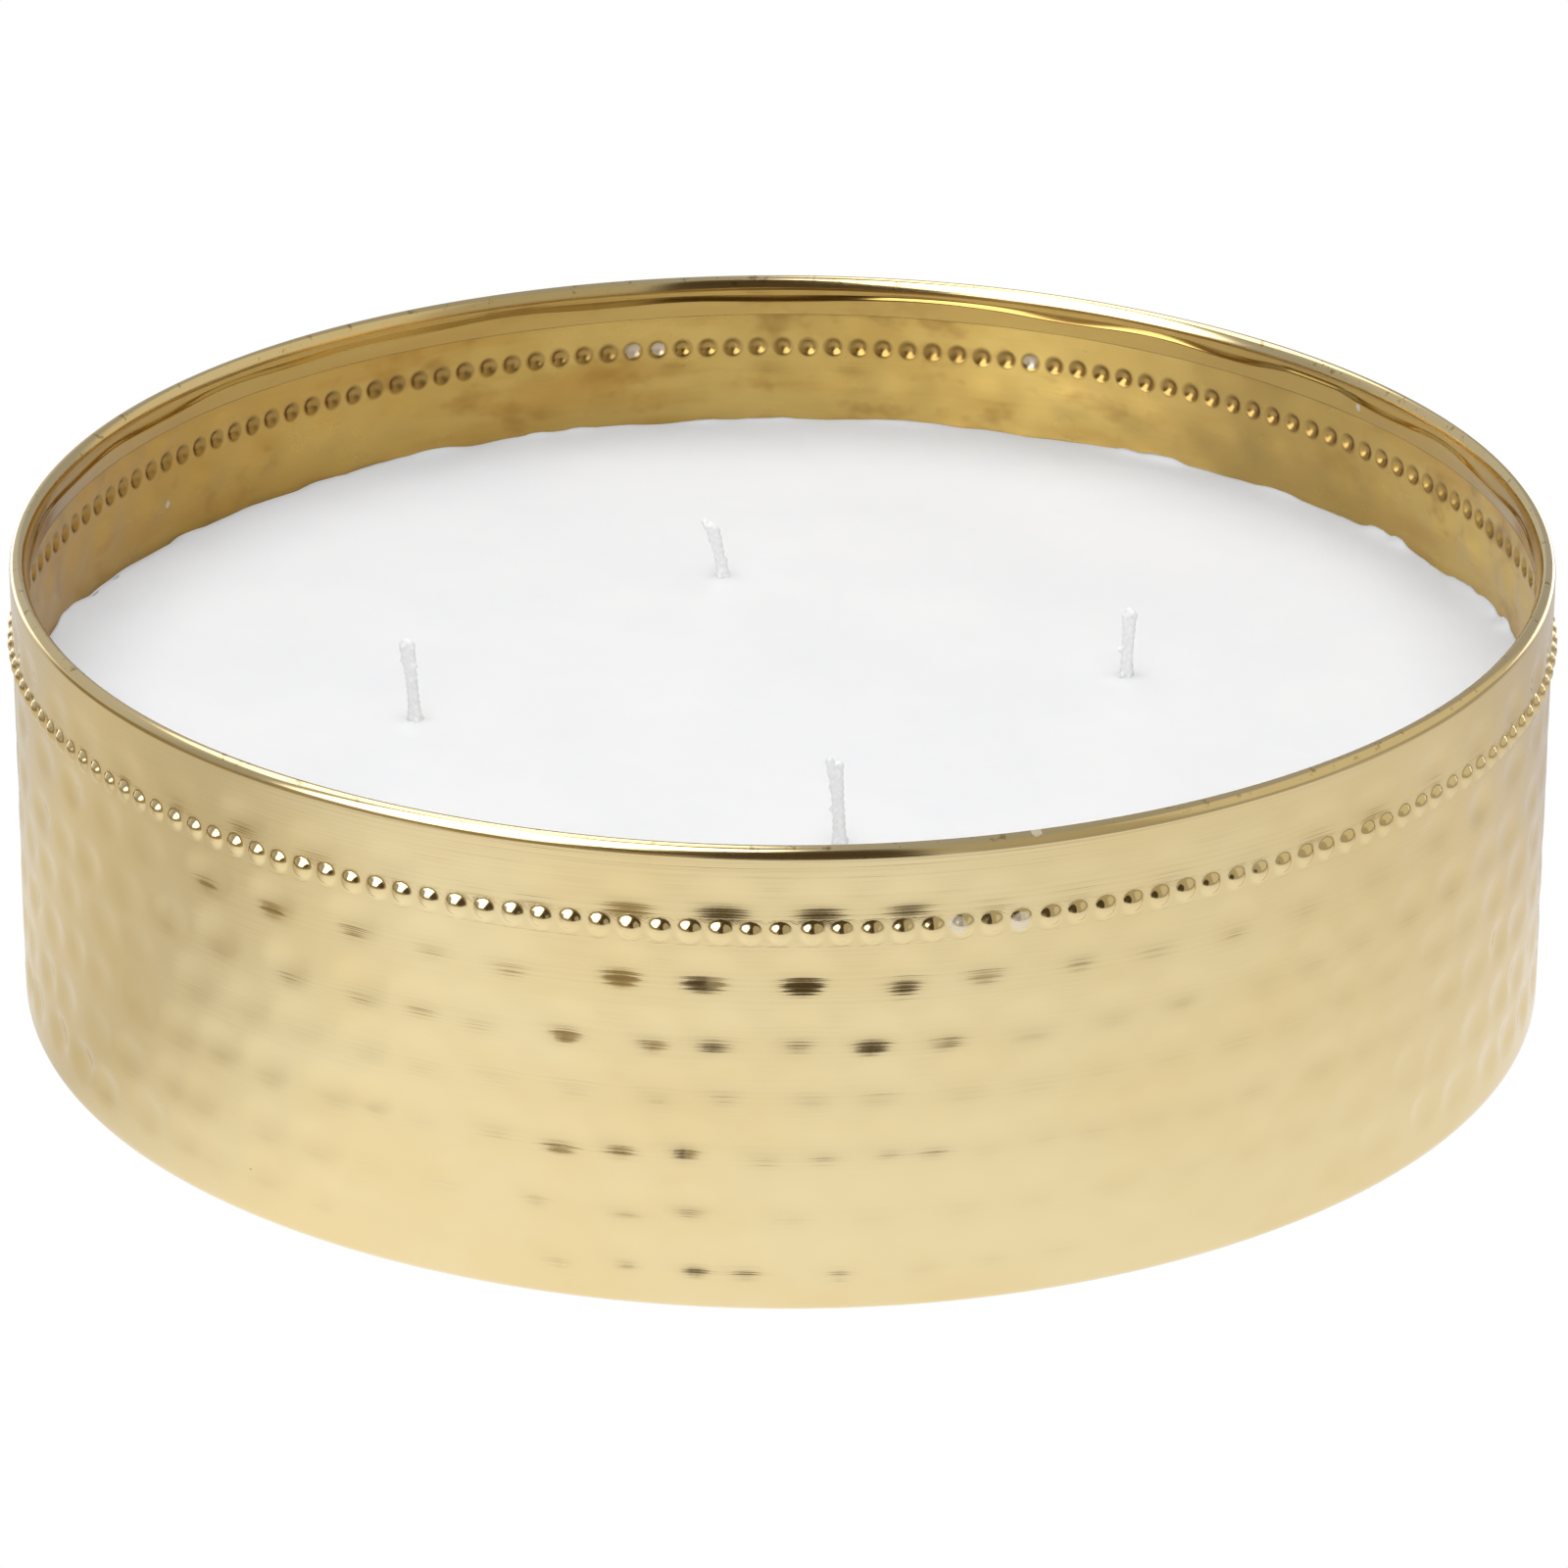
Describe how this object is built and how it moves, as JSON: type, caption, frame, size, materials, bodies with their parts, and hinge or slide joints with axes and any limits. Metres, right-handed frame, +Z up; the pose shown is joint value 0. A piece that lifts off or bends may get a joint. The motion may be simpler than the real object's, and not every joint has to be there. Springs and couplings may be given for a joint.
{
  "type": "candle tin",
  "caption": "Shallow round hammered brass tin with a beaded band and a folded rim, filled with white wax around upright braided wicks.",
  "frame": {"origin": "centre of the base, on the surface that the tin stands on", "axes": "+Z up along the tin's axis, -Y towards the viewer, +X to the viewer's right"},
  "size_m": [0.2314, 0.2314, 0.0706],
  "materials": {
    "tin_metal": "hammered and polished, with fine spun lines",
    "wax": "poured wax, satin",
    "wick_braid": "braided cotton coated with wax",
    "sustainer_steel": "tinned sheet",
    "sticker_foam": "foam",
    "label_paper": "uncoated blank paper"
  },
  "bodies": {
    "root": {"tin_body": "tin_metal", "wax_fill": "wax", "wick_left": "wick_braid", "wick_back": "wick_braid", "wick_right": "wick_braid", "wick_front": "wick_braid", "wick_sustainer_left": "sustainer_steel", "wick_sustainer_back": "sustainer_steel", "wick_sustainer_right": "sustainer_steel", "wick_sustainer_front": "sustainer_steel", "wick_sticker_left": "sticker_foam", "wick_sticker_back": "sticker_foam", "wick_sticker_right": "sticker_foam", "wick_sticker_front": "sticker_foam", "base_label": "label_paper"}
  },
  "joints": []
}
